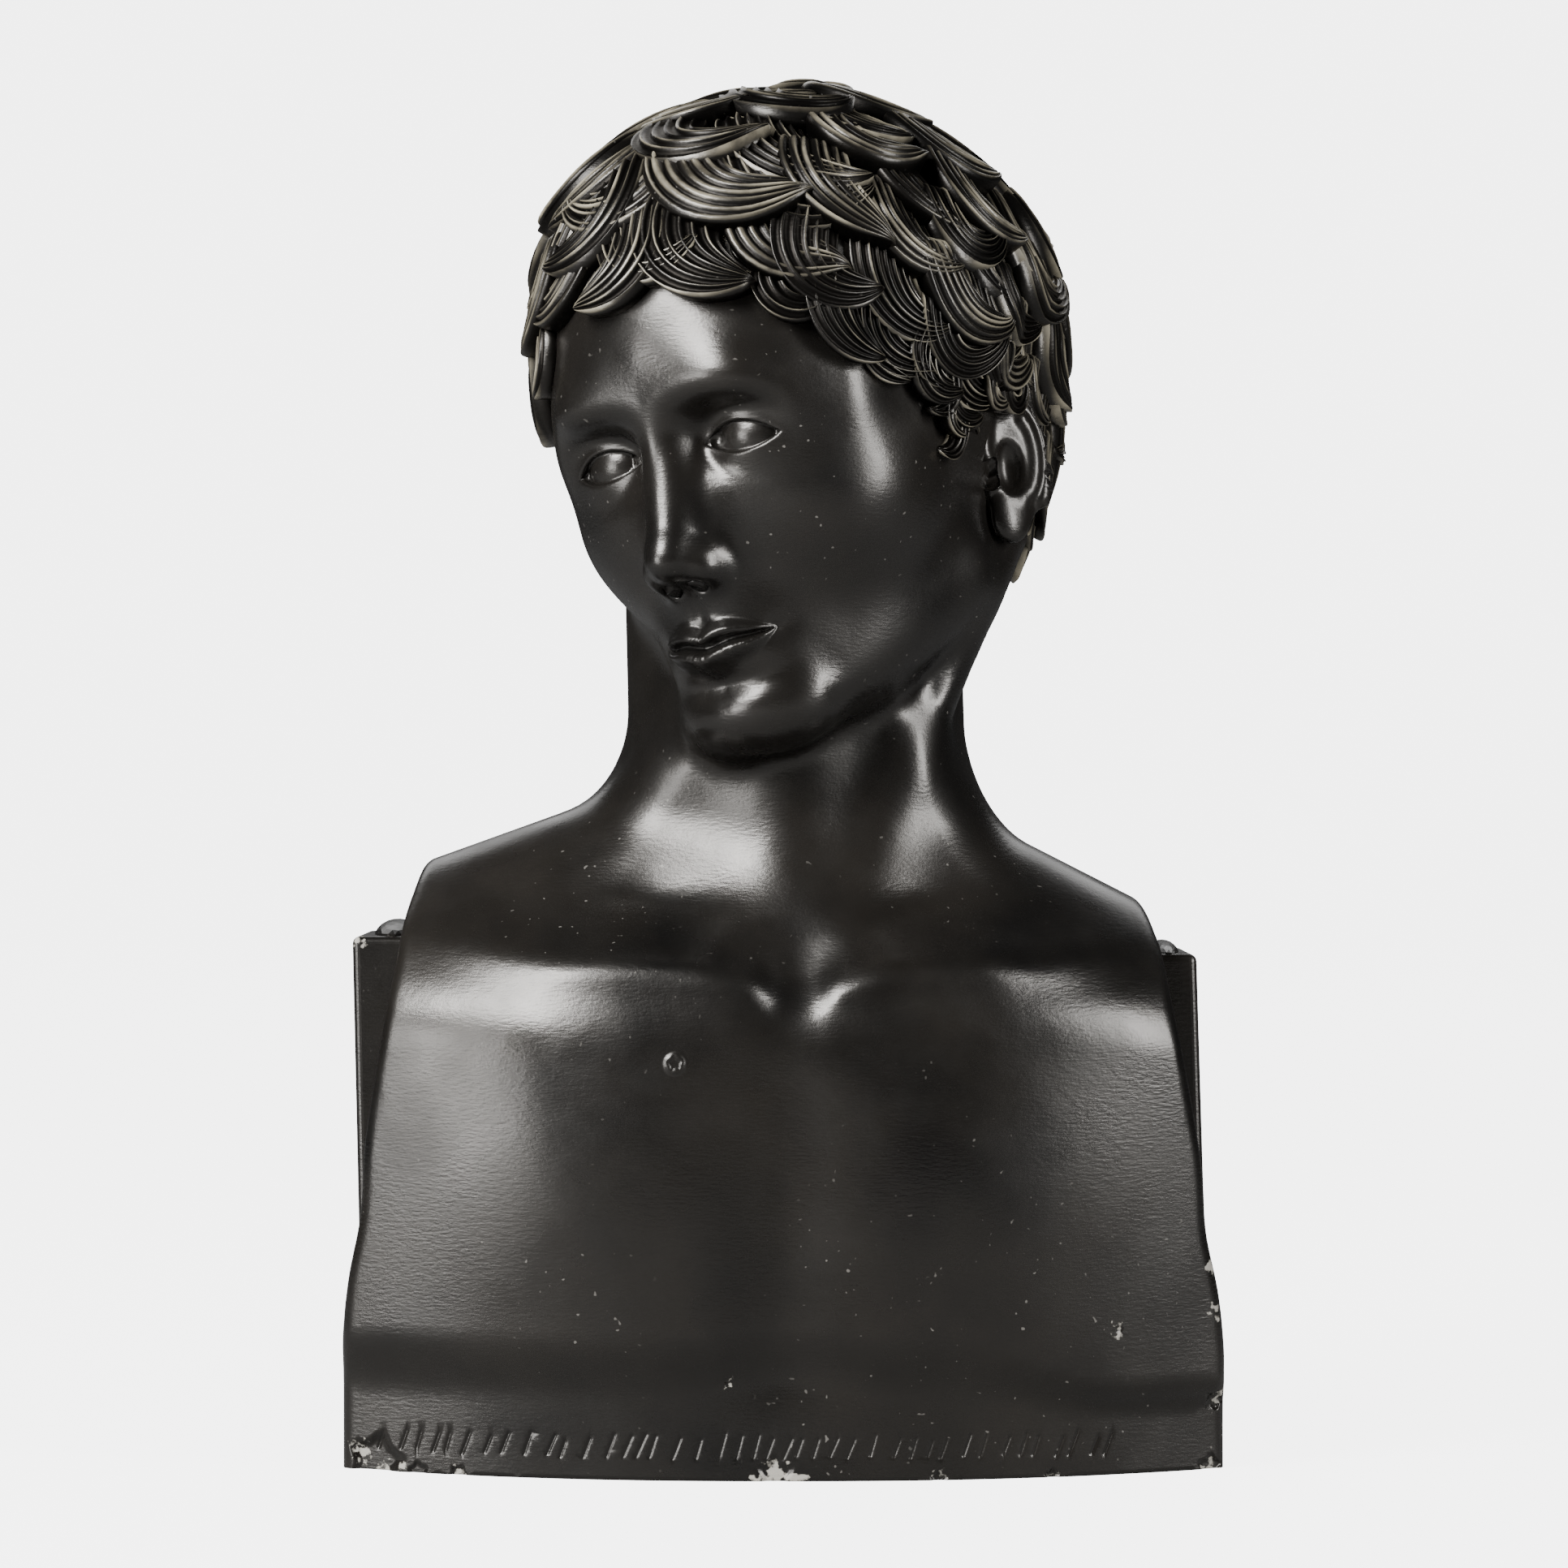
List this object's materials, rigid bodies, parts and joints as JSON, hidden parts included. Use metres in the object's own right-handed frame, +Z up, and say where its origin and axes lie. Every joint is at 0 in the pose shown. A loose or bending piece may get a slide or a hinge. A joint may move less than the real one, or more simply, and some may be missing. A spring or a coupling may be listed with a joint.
{
  "type": "herm bust",
  "caption": "Black waxed plaster herm bust of a young man, head turned aside, short curled hair, chest cut square below and at the arms.",
  "frame": {"origin": "on the surface that the bust stands on, under the middle of its box", "axes": "+Z up, -Y the way the chest faces, +X to the right as seen from the front"},
  "size_m": [0.345, 0.2426, 0.5489],
  "materials": {
    "black_waxed_plaster": "satin"
  },
  "bodies": {
    "root": {"bust": "black_waxed_plaster"}
  },
  "joints": []
}
